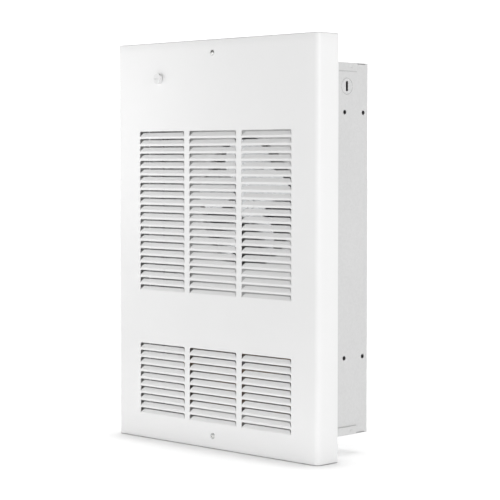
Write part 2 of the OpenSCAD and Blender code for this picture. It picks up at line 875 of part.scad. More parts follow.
module grommet(x, y, hole_d) {
    neck_r = hole_d / 2 - push_clear;
    translate([x, y, partition_z0]) rotate_extrude() difference() {
        union() {
            translate([0, -grommet_lip_t]) square([neck_r, sheet_t + 2 * grommet_lip_t]);
            translate([0, -grommet_lip_t]) square([neck_r + grommet_lip, grommet_lip_t - face_clear]);
            translate([0, sheet_t + face_clear])
                square([neck_r + grommet_lip, grommet_lip_t - face_clear]);
        }
        translate([0, -grommet_lip_t - 1]) square([neck_r - grommet_wall, sheet_t + 2 * grommet_lip_t + 2]);
    }
}

module partition_grommets() {
    color("dimgray") {
        grommet(grommet_x, grommet_y, grommet_hole_d);
        grommet(0, motor_lead_y, motor_grommet_hole_d);
    }
}

module air_divider() {
    color("gainsboro") {
        block(-deck_half, deck_half, cover_in_y + divider_gap, deck_y, divider_up, divider_up + sheet_t);
        block(-deck_half, deck_half, deck_y - sheet_t, deck_y, divider_up, divider_up + divider_flange);
    }
}

module control_panel() {
    gap_half = bracket_w / 2 + deck_edge_gap;
    color("gainsboro") difference() {
        union() {
            block(-deck_half, deck_half, panel_y, panel_back, partition_up, panel_top);
            block(-deck_half, -gap_half, panel_y, panel_back + bent_edge, panel_top - sheet_t, panel_top);
            block(gap_half, deck_half, panel_y, panel_back + bent_edge, panel_top - sheet_t, panel_top);
        }
        for (side = [-1, 1]) {
            rod_y(side * deck_screw_x, panel_screw_z, panel_y - 1, panel_back + 1,
                  deck_screw_d + 2 * hole_clear);
            rod_y(knob_x + side * lead_hole_x, knob_z, panel_y - 1, panel_back + 1, lead_d + 3);
            rod_y(knob_x + side * th_screw_x, knob_z, panel_y - 1, panel_back + 1,
                  small_screw_d + 2 * push_clear);
        }
        block(switch_x - switch_w / 2 - push_clear, switch_x + switch_w / 2 + push_clear,
              panel_y - 1, panel_back + 1,
              control_up - switch_h / 2 - push_clear, control_up + switch_h / 2 + push_clear);
    }
}

// ---------- Fan and motor ----------

module motor_strap() {
    z0 = fan_up - strap_w / 2;
    z1 = fan_up + strap_w / 2;
    foot_x = strap_leg_x + strap_foot;
    color("silver") difference() {
        union() {
            block(-strap_leg_x, strap_leg_x, strap_back - strap_t, strap_back, z0, z1);
            for (side = [-1, 1]) {
                leg = [side * strap_leg_x, side * (strap_leg_x - strap_t)];
                block(min(leg), max(leg), deck_back, strap_back, z0, z1);
                foot = [side * foot_x, side * (strap_leg_x - strap_t)];
                block(min(foot), max(foot), deck_back, deck_back + strap_t, z0, z1);
            }
        }
        for (side = [-1, 1]) {
            rod_y(side * strap_screw_x, fan_up, deck_back - 1, deck_back + strap_t + 1,
                  deck_screw_d + 2 * push_clear);
            rod_y(side * motor_bolt_span / 2, fan_up, strap_back - strap_t - 1, strap_back + 1,
                  motor_bolt_d + 2 * push_clear);
        }
    }
}

module strap_screws() {
    color("silver") for (side = [-1, 1])
        screw_y(side * strap_screw_x, deck_y, fan_up, deck_screw_d, low_head_d, low_head_h, low_screw_len);
}

module motor_bolts() {
    color("silver") for (side = [-1, 1])
        screw_y(side * motor_bolt_span / 2, can_y0 - bell_t, fan_up, motor_bolt_d, motor_head_d,
                motor_head_h, strap_back + motor_nut_h - can_y0 + bell_t + motor_bolt_end);
}

module motor_nuts() {
    color("silver") for (side = [-1, 1])
        hex_nut_y(side * motor_bolt_span / 2, strap_back, fan_up, motor_nut_w, motor_nut_h,
                  motor_bolt_d + 2 * push_clear);
}

// Outline of a bell's flange, with an ear for each motor bolt
module bell_plan() {
    difference() {
        union() {
            circle(d = motor_d);
            square([motor_bolt_span, ear_w], center = true);
            for (side = [-1, 1]) translate([side * motor_bolt_span / 2, 0]) circle(d = ear_w);
        }
        for (side = [-1, 1])
            translate([side * motor_bolt_span / 2, 0]) circle(d = motor_bolt_d + 2 * push_clear);
    }
}

module motor_front_bell() {
    color("silver") translate([0, 0, fan_up]) difference() {
        union() {
            plate(can_y0 - bell_t, bell_t) bell_plan();
            rod_y(0, 0, bell_front, can_y0, cup_d);
            rod_y(0, 0, bell_front - boss_len, can_y0, boss_d);
        }
        difference() {
            rod_y(0, 0, bell_front + bell_t, can_y0 + 1, 2 * cup_in_r);
            rod_y(0, 0, bell_front, can_y0 + 2, boss_d);
        }
        rod_y(0, 0, bell_front - boss_len - 1, can_y0 + 1, bush_d + 2 * push_clear);
        for (a = [0 : 60 : 300]) rotate([0, a, 0])
            rod_y(cup_d / 2 - vent_in, 0, bell_front - 1, bell_front + bell_t + 1, vent_d);
    }
}

module motor_rear_bell() {
    color("silver") translate([0, 0, fan_up]) difference() {
        union() {
            plate(can_y1, bell_t) bell_plan();
            rod_y(0, 0, can_y1, strap_back - strap_t, cup_d);
            for (side = [-1, 1])
                rod_y(side * motor_bolt_span / 2, 0, can_y1, strap_back - strap_t, ear_w - 4);
        }
        rod_y(0, 0, can_y1 - 1, rear_bore_y, bush_d + 2 * push_clear);
        difference() {
            rod_y(0, 0, can_y1 - 1, strap_back - strap_t - 2, 2 * cup_in_r);
            rod_y(0, 0, can_y1 - 2, strap_back, boss_d);
        }
        for (side = [-1, 1])
            rod_y(side * motor_bolt_span / 2, 0, can_y1 - 1, strap_back, motor_bolt_d + 2 * push_clear);
    }
}

module motor_can() {
    color("darkgray") difference() {
        rod_y(0, fan_up, can_y0, can_y1, motor_d);
        rod_y(0, fan_up, can_y0 - 1, can_y1 + 1, motor_d - 2 * can_t);
        translate([0, motor_lead_y, fan_up - motor_d]) cylinder(h = 2 * motor_d, d = lead_d + 1);
    }
}

module stator_core() {
    bore_r = rotor_d / 2 + air_gap;
    color("dimgray") plate(core_y - core_len / 2, core_len) translate([0, fan_up]) difference() {
        union() {
            difference() {
                circle(d = stator_d);
                circle(d = stator_d - 2 * pole_ring_t);
            }
            for (i = [0 : pole_count - 1]) rotate(45 + i * 360 / pole_count)
                translate([0, -pole_w / 2]) square([stator_d / 2 - pole_ring_t / 2, pole_w]);
        }
        circle(r = bore_r);
    }
}

module stator_coils() {
    color("chocolate") translate([0, core_y, fan_up])
        for (i = [0 : pole_count - 1]) rotate([0, 45 + i * 360 / pole_count, 0])
            difference() {
                translate([coil_r1 - coil_t, -coil_len / 2, -coil_w / 2]) cube([coil_t, coil_len, coil_w]);
                translate([coil_r1 - coil_t - 1, -core_len / 2 - 0.2, -pole_w / 2 - 0.2])
                    cube([coil_t + 2, core_len + 0.4, pole_w + 0.4]);
                rod_y(0, 0, -coil_len, coil_len, 2 * (coil_r1 - coil_t) + 1);
            }
}

module motor_bushes() {
    color("peru") for (span = [[bell_front - boss_len, can_y0], [can_y1, rear_bore_y]])
        difference() {
            rod_y(0, fan_up, span[0], span[1], bush_d);
            rod_y(0, fan_up, span[0] - 1, span[1] + 1, shaft_d + 2 * run_clear);
        }
}

module motor_shaft() {
    color("silver") rod_y(0, fan_up, shaft_y0, shaft_y1, shaft_d);
}

module rotor_core() {
    color("darkgray") difference() {
        rod_y(0, fan_up, core_y - core_len / 2 - 1, core_y + core_len / 2 + 1, rotor_d);
        rod_y(0, fan_up, can_y0 - 1, can_y1 + 1, shaft_d + 2 * run_clear);
    }
}

// One cambered blade: a bent sheet inside a round lobe, drawn along +X
module fan_blade() {
    intersection() {
        translate([fan_d / 2 - blade_lobe_r, 0, -blade_reach / 2])
            cylinder(h = blade_reach, r = blade_lobe_r);
        rotate([fan_pitch, 0, 0]) translate([0, 0, camber_rise - camber_r]) rotate([0, 90, 0])
            difference() {
                cylinder(h = fan_d, r = camber_r, $fn = 180);
                translate([0, 0, -1]) cylinder(h = fan_d + 2, r = camber_r - fan_t, $fn = 180);
            }
        translate([0, -blade_chord / 2, -blade_depth / 2]) cube([fan_d, blade_chord, blade_depth]);
    }
}

module fan_blades() {
    color("lightgray") translate([0, 0, fan_up]) difference() {
        union() {
            for (i = [0 : blade_count - 1])
                translate([0, blade_mid_y, 0]) rotate([90, -90 - i * 360 / blade_count, 0]) fan_blade();
            rod_y(0, 0, hub_disc_y - fan_t / 2, hub_disc_y + fan_t / 2, hub_disc_d);
            rod_y(0, 0, hub_y0, hub_y1, hub_d);
        }
        rod_y(0, 0, hub_y0 - 1, hub_y1 + 1, shaft_d + 2 * run_clear);
        rod_x(0, hub_d, set_screw_y, 0, set_screw_d + 2 * push_clear);
    }
}

module fan_set_screw() {
    color("dimgray") difference() {
        rod_x(shaft_d / 2 + 0.2, hub_d / 2, set_screw_y, fan_up, set_screw_d);
        translate([hub_d / 2 - socket_w, set_screw_y, fan_up]) rotate([0, 90, 0])
            cylinder(h = 2 * socket_w, d = socket_w, $fn = 6);
    }
}

// ---------- Heating element ----------

module element_frame() {
    in_w = element_w;
    out_w = in_w + 2 * frame_t;
    out_h = outlet_h + 2 * frame_t;
    color("gainsboro") translate([0, 0, element_up]) difference() {
        union() {
            plate(deck_back, frame_y1 - deck_back) difference() {
                square([out_w, out_h], center = true);
                square([in_w, outlet_h], center = true);
            }
            plate(deck_back, frame_t) difference() {
                square([out_w, out_h + 2 * frame_flange], center = true);
                square([in_w, outlet_h], center = true);
            }
        }
        for (side = [-1, 1], z = frame_screw_z)
            rod_y(side * frame_screw_x, z - element_up, deck_back - 1, deck_back + frame_t + 1,
                  deck_screw_d + 2 * push_clear);
        for (z = pass_z)
            rod_x(-element_w, element_w, tube_y, z - element_up, tube_d + 2 * push_clear);
    }
}

module element_screws() {
    color("silver") for (side = [-1, 1], z = frame_screw_z)
        screw_y(side * frame_screw_x, deck_y, z, deck_screw_d, low_head_d, low_head_h, low_screw_len);
}

module tube_bend(x, z, side) {
    translate([x, tube_y, z]) rotate([90, 0, 0]) rotate([0, 0, side > 0 ? -90 : 90])
        rotate_extrude(angle = 180) translate([pass_gap / 2, 0]) circle(d = tube_d);
}

module element_tube() {
    color("dimgray") difference() {
        union() {
            for (i = [0 : passes - 1])
                rod_x(i == 0 || i == passes - 1 ? -tail_x : -end_x, end_x, tube_y, pass_z[i], tube_d);
            for (i = [0 : passes - 2]) {
                side = i % 2 == 0 ? 1 : -1;
                tube_bend(side * end_x, (pass_z[i] + pass_z[i + 1]) / 2, side);
            }
        }
        for (z = [pass_z[0], pass_z[passes - 1]])
            rod_x(-tail_x - 1, pin_in + 0.5 - tail_x, tube_y, z, pin_d + 2 * push_clear);
    }
}

module element_fins() {
    color("silver") for (i = [0 : fin_count - 1])
        strip(-(fin_count - 1) * fin_pitch / 2 + i * fin_pitch - fin_t / 2, fin_t) difference() {
            translate([tube_y - fin_depth / 2, element_up - fin_h / 2]) square([fin_depth, fin_h]);
            for (z = pass_z) translate([tube_y, z]) circle(d = tube_d + 2 * push_clear);
        }
}

module element_insulators() {
    color("ivory") for (z = [pass_z[0], pass_z[passes - 1]]) difference() {
        rod_x(-tail_x - insulator_t, -tail_x, tube_y, z, insulator_d);
        rod_x(-tail_x - insulator_t - 1, -tail_x + 1, tube_y, z, pin_d + 2 * push_clear);
    }
}

module element_pins() {
    color("silver") for (z = [pass_z[0], pass_z[passes - 1]])
        rod_x(-pin_x, pin_in - tail_x, tube_y, z, pin_d);
}

// ---------- Thermostat ----------

module spindle_cut(y0, y1, extra) {
    difference() {
        rod_y(knob_x, knob_z, y0, y1, spindle_d + 2 * extra);
        block(knob_x - spindle_d, knob_x + spindle_d, y0 - 1, y1 + 1,
              knob_z + spindle_d / 2 - spindle_flat + extra, knob_z + spindle_d);
    }
}

module thermostat_knob() {
    color("white") difference() {
        union() {
            rod_y(knob_x, knob_z, knob_y0, knob_back, knob_d);
            rod_y(knob_x, knob_z, knob_back - 1, front_y + knob_boss_len, knob_boss_d);
        }
        spindle_cut(spindle_y0, front_y + knob_boss_len + 1, push_clear);
        block(knob_x - knob_slot_l / 2, knob_x + knob_slot_l / 2, knob_y0 - 1, knob_y0 + knob_slot_depth,
              knob_z - knob_slot_w / 2, knob_z + knob_slot_w / 2);
    }
}

module thermostat_spindle() {
    color("silver") {
        spindle_cut(spindle_y0 + move_gap, front_y + knob_boss_len + 1, 0);
        rod_y(knob_x, knob_z, front_y + knob_boss_len, thermostat_y0 + spindle_in, spindle_d);
    }
}

module thermostat_body() {
    color("ivory") difference() {
        union() {
            block(knob_x - thermostat_w / 2, knob_x + thermostat_w / 2,
                  thermostat_y0, thermostat_y1 - th_tab,
                  knob_z - thermostat_h / 2, knob_z + thermostat_h / 2);
            rod_y(knob_x, knob_z, thermostat_y0 - neck_len, thermostat_y0 + 1, neck_d);
            for (side = [-1, 1])
                block(knob_x + side * lead_hole_x - tab_w / 2, knob_x + side * lead_hole_x + tab_w / 2,
                      thermostat_y1 - th_tab - 1, thermostat_y1 - lead_seat,
                      knob_z - tab_h_half, knob_z + tab_h_half);
        }
        rod_y(knob_x, knob_z, thermostat_y0 - neck_len - 1, thermostat_y0 + spindle_in + move_gap,
              spindle_d + 2 * run_clear);
    }
}

module thermostat_nut() {
    color("silver") hex_nut_y(knob_x, th_bracket_y - th_nut_h, knob_z, th_nut_w, th_nut_h,
                              neck_d + 2 * push_clear);
}

module thermostat_bracket() {
    z0 = knob_z - th_bracket_h / 2;
    z1 = knob_z + th_bracket_h / 2;
    half = th_bracket_w / 2;
    color("silver") difference() {
        union() {
            block(knob_x - half, knob_x + half, th_bracket_y, th_bracket_y + bracket_t, z0, z1);
            for (side = [-1, 1]) {
                leg = [side * half, side * (half - bracket_t)];
                block(knob_x + min(leg), knob_x + max(leg), th_bracket_y, panel_y, z0, z1);
                foot = [side * (half + th_foot), side * (half - bracket_t)];
                block(knob_x + min(foot), knob_x + max(foot), panel_y - bracket_t, panel_y, z0, z1);
            }
        }
        rod_y(knob_x, knob_z, th_bracket_y - 1, th_bracket_y + bracket_t + 1, neck_d + 2 * push_clear);
        for (side = [-1, 1])
            rod_y(knob_x + side * th_screw_x, knob_z, panel_y - bracket_t - 1, panel_y + 1,
                  small_screw_d + 2 * push_clear);
    }
}

module thermostat_screws() {
    color("silver") for (side = [-1, 1])
        screw_y(knob_x + side * th_screw_x, panel_y - bracket_t, knob_z, small_screw_d, small_head_d,
                small_head_h, small_screw_len);
}

// ---------- Switch, terminal block and high limit ----------

module switch_body() {
    color("dimgray") difference() {
        union() {
            block(switch_x - bezel_w / 2, switch_x + bezel_w / 2, panel_y - bezel_t, panel_y,
                  control_up - bezel_h / 2, control_up + bezel_h / 2);
            block(switch_x - switch_w / 2, switch_x + switch_w / 2, panel_y - 1, switch_y1,
                  control_up - switch_h / 2, control_up + switch_h / 2);
            for (x = [-pin_side, pin_side], z = [-terminal_row, terminal_row])
                block(switch_x + x - pin_wide / 2, switch_x + x + pin_wide / 2, switch_y1 - 1,
                      switch_pin_y - lead_seat, control_up + z - 0.8, control_up + z + 0.8);
        }
        block(switch_x - pocket_w / 2, switch_x + pocket_w / 2,
              panel_y - bezel_t - 1, panel_y + pocket_depth,
              control_up - pocket_h / 2, control_up + pocket_h / 2);
        pivot_half = pocket_w / 2 + pivot_past + move_gap;
        rod_x(switch_x - pivot_half, switch_x + pivot_half, rocker_y, control_up, pivot_d + 2 * run_clear);
    }
}

module switch_rocker() {
    color("black") translate([0, rocker_y, control_up]) rotate([-rocker_tilt, 0, 0]) {
        difference() {
            union() {
                rod_x(switch_x - rocker_w / 2, switch_x + rocker_w / 2, 0, 0, 2 * rocker_half);
                block(switch_x - rocker_w / 2, switch_x + rocker_w / 2, rocker_face - rocker_y, 0,
                      -rocker_half, rocker_half);
            }
            translate([switch_x - rocker_w, rocker_face - rocker_y - rocker_dish + rocker_dish_depth, 0])
                rotate([0, 90, 0]) cylinder(h = 2 * rocker_w, r = rocker_dish);
        }
        rod_x(switch_x - pocket_w / 2 - pivot_past, switch_x + pocket_w / 2 + pivot_past, 0, 0, pivot_d);
    }
}

module terminal_block() {
    color("ivory") difference() {
        block(block_right - block_w / 2, block_right + block_w / 2, block_y0, back_in,
              control_up - block_h / 2, control_up + block_h / 2);
        for (i = [-1 : 1]) {
            x = block_right + i * pole_pitch;
            block(x - terminal_bay_w / 2, x + terminal_bay_w / 2, block_y0 - 1, block_y0 + terminal_dip,
                  control_up - block_h / 2 - 1, control_up + block_h / 2 + 1);
            for (row = [-1, 1])
                rod_y(x, control_up + row * terminal_row, block_y0,
                      block_y0 + terminal_bore_depth, terminal_screw_d + 2 * hole_clear);
        }
        for (side = [-1, 1])
            rod_y(block_right + side * (block_w / 2 - block_hole_in), control_up, block_y0 - 1,
                  back_in + 1, block_hole_d);
    }
}

module terminal_screws() {
    color("goldenrod") for (i = [-1 : 1], row = [-1, 1])
        screw_y(block_right + i * pole_pitch, block_y0 + terminal_dip, control_up + row * terminal_row,
                terminal_screw_d, terminal_head_d, terminal_head_h, terminal_screw_len, 20 * i + 35);
}

module ground_screw() {
    color("green") difference() {
        union() {
            translate([ground_x, back_in - ground_head_h, ground_z]) rotate([-90, 0, 0])
                cylinder(h = ground_head_h, d = ground_head_w, $fn = 6);
            rod_y(ground_x, ground_z, back_in - ground_head_h, back_in, ground_screw_d);
        }
        block(ground_x - ground_head_w / 3, ground_x + ground_head_w / 3, back_in - ground_head_h - 1,
              back_in - ground_head_h + 1, ground_z - 0.5, ground_z + 0.5);
    }
}

module high_limit() {
    color("black") difference() {
        union() {
            rod_y(limit_x, limit_up, deck_back, deck_back + limit_len, limit_d);
            block(limit_x - limit_plate_w / 2, limit_x + limit_plate_w / 2,
                  deck_back, deck_back + limit_plate_t,
                  limit_up - limit_plate_h / 2, limit_up + limit_plate_h / 2);
            for (pin = [-limit_pin_x, limit_pin_x])
                block(limit_x + pin - limit_pin_t / 2, limit_x + pin + limit_pin_t / 2,
                      deck_back + limit_len - 1, limit_pin_y - lead_seat,
                      limit_up - limit_pin_h / 2, limit_up + limit_pin_h / 2);
        }
        rod_y(limit_x, limit_up, deck_back - 1, deck_back + button_in + reset_travel + move_gap,
              button_d + 2 * move_gap);
        for (side = [-1, 1])
            rod_y(limit_x + side * rivet_x, limit_up, deck_back - 1, deck_back + 2,
                  rivet_d + 2 * push_clear);
    }
}

module limit_rivets() {
    color("silver") for (side = [-1, 1])
        screw_y(limit_x + side * rivet_x, deck_y, limit_up, rivet_d, rivet_head_d, rivet_head_h, rivet_len);
}

module reset_button() {
    color("red") rod_y(limit_x, limit_up, deck_y - button_out, deck_back + button_in, button_d);
}

// ---------- Internal leads ----------

module supply_leads() {
    color("black") for (route = [route_line_1, route_line_2]) lead(route);
}

module thermostat_leads() {
    color("firebrick") for (route = [route_thermostat_in, route_limit_in]) lead(route);
}

module element_leads() {
    color("firebrick") for (route = [route_element_in, route_element_out]) lead(route);
}

module motor_leads() {
    color("white") for (route = [route_motor_1, route_motor_2]) lead(route);
}

front_cover();
cover_screws();
cover_bracket_top();
cover_bracket_bottom();
box_wrap();
box_top_cap();
box_bottom_cap();
knockout_slug();
supply_bushing();
deck_brackets();
fan_deck();
deck_screws();
wiring_partition();
partition_grommets();
air_divider();
control_panel();
motor_strap();
strap_screws();
motor_bolts();
motor_nuts();
motor_front_bell();
motor_rear_bell();
motor_can();
stator_core();
stator_coils();
motor_bushes();
motor_shaft();
rotor_core();
fan_blades();
fan_set_screw();
element_frame();
element_screws();
element_tube();
element_fins();
element_insulators();
element_pins();
thermostat_knob();
thermostat_spindle();
thermostat_body();
thermostat_nut();
thermostat_bracket();
thermostat_screws();
switch_body();
switch_rocker();
terminal_block();
terminal_screws();
ground_screw();
high_limit();
limit_rivets();
reset_button();
supply_leads();
thermostat_leads();
element_leads();
motor_leads();
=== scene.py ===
"""Looks of a recessed wall fan heater: a white louvred cover over a galvanised box.

Lengths are written in millimetres, and mm() turns them into metres. X is across the
front, Y runs into the wall and Z is up; the front faces -Y.
"""

import json
import math

import bmesh
import bpy
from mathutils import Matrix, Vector


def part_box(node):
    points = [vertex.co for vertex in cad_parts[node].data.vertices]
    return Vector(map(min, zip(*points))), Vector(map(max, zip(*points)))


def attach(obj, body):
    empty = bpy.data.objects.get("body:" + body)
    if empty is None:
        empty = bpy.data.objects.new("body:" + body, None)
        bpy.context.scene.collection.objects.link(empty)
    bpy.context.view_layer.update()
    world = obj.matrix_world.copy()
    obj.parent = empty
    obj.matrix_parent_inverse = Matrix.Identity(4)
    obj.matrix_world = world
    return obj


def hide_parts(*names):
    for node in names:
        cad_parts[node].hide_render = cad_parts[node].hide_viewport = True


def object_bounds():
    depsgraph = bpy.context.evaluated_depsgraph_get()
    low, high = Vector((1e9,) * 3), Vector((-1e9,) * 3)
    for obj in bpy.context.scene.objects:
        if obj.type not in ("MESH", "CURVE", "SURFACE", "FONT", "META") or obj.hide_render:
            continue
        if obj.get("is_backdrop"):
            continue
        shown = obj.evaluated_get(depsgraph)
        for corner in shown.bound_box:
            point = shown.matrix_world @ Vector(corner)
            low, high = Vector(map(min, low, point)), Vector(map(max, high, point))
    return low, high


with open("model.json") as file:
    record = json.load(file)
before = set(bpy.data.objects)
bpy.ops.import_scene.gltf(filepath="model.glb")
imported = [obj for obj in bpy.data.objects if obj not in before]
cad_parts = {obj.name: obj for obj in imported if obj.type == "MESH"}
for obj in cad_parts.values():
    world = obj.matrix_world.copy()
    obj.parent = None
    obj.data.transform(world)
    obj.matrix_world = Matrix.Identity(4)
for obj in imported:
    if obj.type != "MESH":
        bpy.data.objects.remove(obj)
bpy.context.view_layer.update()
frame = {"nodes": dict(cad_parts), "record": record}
ROOT = "heater"

# Camera, fitted to the photograph: it stands to the right, a little above the middle
CAMERA_AZIMUTH = 44.75
CAMERA_PITCH = 2.97
CAMERA_DISTANCE = 2674.5
CAMERA_AIM = (84.1, -148.0, -0.9)
CAMERA_LENS = 124.1
CAMERA_SENSOR = 36
CAMERA_CLIP = 200

# Floor and light
FLOOR_GAP = 0.5
FLOOR_SIZE = 60000.0
FLOOR_TONES = (0.54, 0.56)
# Sky: full light up to the first height, and less light from the second
SKY_LIGHT = 1.4
SKY_HIGH_LIGHT = 0.2
SKY_FALL = (0.1, 0.3)
# Lamps for the heater as (name, place, aim, size, watts)
AREA_LIGHTS = (("left_key", (-450, -420, 180), (-225, -148, 60), (200, 400), 0.4),
               ("front_key", (-300, -2200, 400), (0, -148, 100), (1500, 400), 3.4),
               ("low_front", (150, -320, -318), (150, -148, -318), (1100, 30), 0.26),
               ("right_key", (2600, -600, 500), (227, -125, 0), (1000, 1000), 20.0),
               ("inner_fill", (20, -112, 0), (20, 0, 0), (310, 560), 0.15))
# Suns for the floor as (name, strength, degrees across): the first draws the dark line
# at the cover's foot, and the second the haze under the box
SUN_TOWARDS = (-0.02, 0.02, 1.0)
FLOOR_SUNS = (("foot_sun", 3.3, 9.0), ("haze_sun", 2.25, 55.0))

# Cover sheet: its thickness, the upright folds, the rounded edges along its top and bottom,
# the rear folds, and the flange that they turn in at the wall
SHEET = 1.2
FOLD_R = 8.0
FOLD_STEPS = 10
EDGE_R = 1.6
EDGE_STEPS = 4
REAR_R = 1.6
REAR_STEPS = 3
RETURN_W = 28.6
COVER_BEVEL = 0.2

# Holes in the cover, as (x, z) and radius, and the cells that they are cut in
KNOB_X, KNOB_Z = -124.0, 270.5
SCREW_Z = (307.0, -301.0)
HOLES = {(KNOB_X, KNOB_Z): 5.9, (0.0, SCREW_Z[0]): 2.5, (0.0, SCREW_Z[1]): 2.5}
HOLE_STEPS = 6
KNOB_CELL = 12.0
SCREW_CELL = 8.0

# Louvers: columns, rows as (height of the first slit, number), one opening, and what its
# cell adds beside and above it
COLUMN_X = (-118.5, 0.0, 118.5)
ROWS = ((185.2, 22), (-163.6, 10))
PITCH = 12.0
LOUVER_W = 107.0
LOUVER_H = 9.0
CORNER_R = 2.4
CORNER_STEPS = 5
CELL_SIDE = 2.0
CELL_TOP = 1.6

# Louver blades: the cut's width, length, lean in degrees, radius of the bend, and how much
# shorter the free edge is at each end, with the power of the curve that the end follows
LANCE_GAP = 0.4
BLADE_LEN = 7.5
BLADE_LEAN = 29.0
BLADE_BEND_R = 1.2
BLADE_END = 5.6
BLADE_ROUND = 1.3
BLADE_STEPS = 9

# Edges sharper than this many degrees stay sharp in the shading and get a bevel
SHARP_ANGLE = 35
# Places closer than this are the same place
TOUCH = 0.01


def mm(*lengths):
    """Millimetres as metres: one number, or a Vector of three."""
    return lengths[0] / 1000 if len(lengths) == 1 else Vector(lengths) / 1000


# ---------- Mesh helpers ----------

class Sheet:
    """A bmesh in millimetres whose vertices are shared by place."""

    def __init__(self):
        self.bm = bmesh.new()
        self.places = {}

    def vert(self, x, y, z):
        key = (round(x, 3), round(y, 3), round(z, 3))
        if key not in self.places:
            self.places[key] = self.bm.verts.new(mm(x, y, z))
        return self.places[key]

    def face(self, points):
        """A face through the points; repeated points are dropped."""
        verts = []
        for point in points:
            vert = self.vert(*point)
            if vert not in verts:
                verts.append(vert)
        if len(verts) > 2:
            self.bm.faces.new(verts)

    def ring_cell(self, sides, hole):
        """Faces between a cell's four sides and the four stretches of a hole's outline."""
        for side, stretch in zip(sides, hole):
            self.face([*side, *reversed(stretch)])


def arc(centre, radius, start, end, steps):
    """Points (a, b) on an arc, angles in degrees."""
    angles = [math.radians(start + (end - start) * i / steps) for i in range(steps + 1)]
    return [(centre[0] + radius * math.cos(a), centre[1] + radius * math.sin(a)) for a in angles]


def new_object(name, bm, material, body=ROOT):
    """An object from a bmesh, riding on a body."""
    bmesh.ops.recalc_face_normals(bm, faces=bm.faces)
    mesh = bpy.data.meshes.new(name)
    bm.to_mesh(mesh)
    bm.free()
    mesh.materials.append(material)
    obj = bpy.data.objects.new(name, mesh)
    bpy.context.scene.collection.objects.link(obj)
    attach(obj, body)
    return obj


def smooth(obj):
    """Smooth shading, with sharp edges kept."""
    obj.data.shade_smooth()
    obj.data.set_sharp_from_angle(angle=math.radians(SHARP_ANGLE))


def bevel(obj, width):
    """A small rounded edge wherever two faces meet sharply."""
    mod = obj.modifiers.new("edge", "BEVEL")
    mod.width = mm(width)
    mod.segments = 2
    mod.limit_method = "ANGLE"
    mod.angle_limit = math.radians(SHARP_ANGLE)
    mod.harden_normals = True


# ---------- Materials ----------

class Paint:
    """A node material: its shader and short ways to add nodes to it."""

    def __init__(self, name, **shader):
        self.material = bpy.data.materials.new(name)
        self.material.use_nodes = True
        self.tree = self.material.node_tree
        self.shader = self.tree.nodes["Principled BSDF"]
        for socket, value in shader.items():
            self.shader.inputs[socket.replace("_", " ")].default_value = value
        self.place = self.add("ShaderNodeTexCoord").outputs["Object"]

    def add(self, kind, inputs=None, **settings):
        node = self.tree.nodes.new(kind)
        for key, value in settings.items():
            setattr(node, key, value)
        for key, value in (inputs or {}).items():
            if isinstance(value, bpy.types.NodeSocket):
                self.tree.links.new(value, node.inputs[key])
            else:
                node.inputs[key].default_value = value
        return node

    def stretched(self, scale):
        """The object's coordinates stretched, for brushing, drawing lines or laminations."""
        inputs = {"Vector": self.place, "Scale": scale}
        return self.add("ShaderNodeMapping", inputs).outputs["Vector"]

    def noise(self, scale, detail=2.0, vector=None):
        """A number from a cloudy pattern."""
        inputs = {"Vector": vector or self.place, "Scale": scale, "Detail": detail}
        return self.add("ShaderNodeTexNoise", inputs).outputs["Fac"]

    def cells(self, scale):
        """One grey value for each cell of a crystal pattern."""
        node = self.add("ShaderNodeTexVoronoi", {"Vector": self.place, "Scale": scale})
        return self.add("ShaderNodeSeparateColor", {"Color": node.outputs["Color"]}).outputs["Red"]

    def ramp(self, factor, stops):
        """A colour ramp on the factor; stops are (place, colour) pairs."""
        node = self.add("ShaderNodeValToRGB", {"Fac": factor})
        while len(node.color_ramp.elements) < len(stops):
            node.color_ramp.elements.new(0.5)
        for element, (place, colour) in zip(node.color_ramp.elements, stops):
            element.position = place
            element.color = (*colour, 1)
        return node.outputs["Color"]

    def times(self, a, b):
        """Colour a multiplied by colour b."""
        node = self.add("ShaderNodeMix", data_type="RGBA", blend_type="MULTIPLY")
        node.inputs["Factor"].default_value = 1
        self.tree.links.new(a, node.inputs["A"])
        self.tree.links.new(b, node.inputs["B"])
        return node.outputs["Result"]

    def grey(self, factor, low, high, start=0.3, end=0.7):
        """A number from low to high as the factor goes from start to end."""
        inputs = {"Value": factor, "From Min": start, "From Max": end,
                  "To Min": low, "To Max": high}
        return self.add("ShaderNodeMapRange", inputs).outputs["Result"]

    def bump(self, height, strength, depth):
        """A surface roughened by the height, with the depth in millimetres."""
        inputs = {"Height": height, "Strength": strength, "Distance": mm(depth)}
        return self.add("ShaderNodeBump", inputs).outputs["Normal"]

    def finish(self, colour, roughness=None, normal=None):
        """The material, with its shader linked."""
        self.tree.links.new(colour, self.shader.inputs["Base Color"])
        if roughness:
            self.tree.links.new(roughness, self.shader.inputs["Roughness"])
        if normal:
            self.tree.links.new(normal, self.shader.inputs["Normal"])
        return self.material


def shades(colour, low, high):
    """Two shades of a colour."""
    return tuple(c * low for c in colour), tuple(c * high for c in colour)


def powder_coat(name, colour):
    """Powder coat: a fine orange-peel skin, faint shade changes and tiny flecks."""
    paint = Paint(name, IOR=1.5)
    cloud = paint.noise(6.0, 3.0)
    fleck = paint.noise(2400.0, 1.0)
    dark, light = shades(colour, 0.985, 1.0)
    tint = paint.times(paint.ramp(cloud, [(0.35, dark), (0.65, light)]),
                       paint.ramp(fleck, [(0.5, (1, 1, 1)), (0.8, (0.96, 0.96, 0.95))]))
    return paint.finish(tint, paint.grey(cloud, 0.36, 0.44),
                        paint.bump(paint.noise(850.0), 0.12, 0.12))


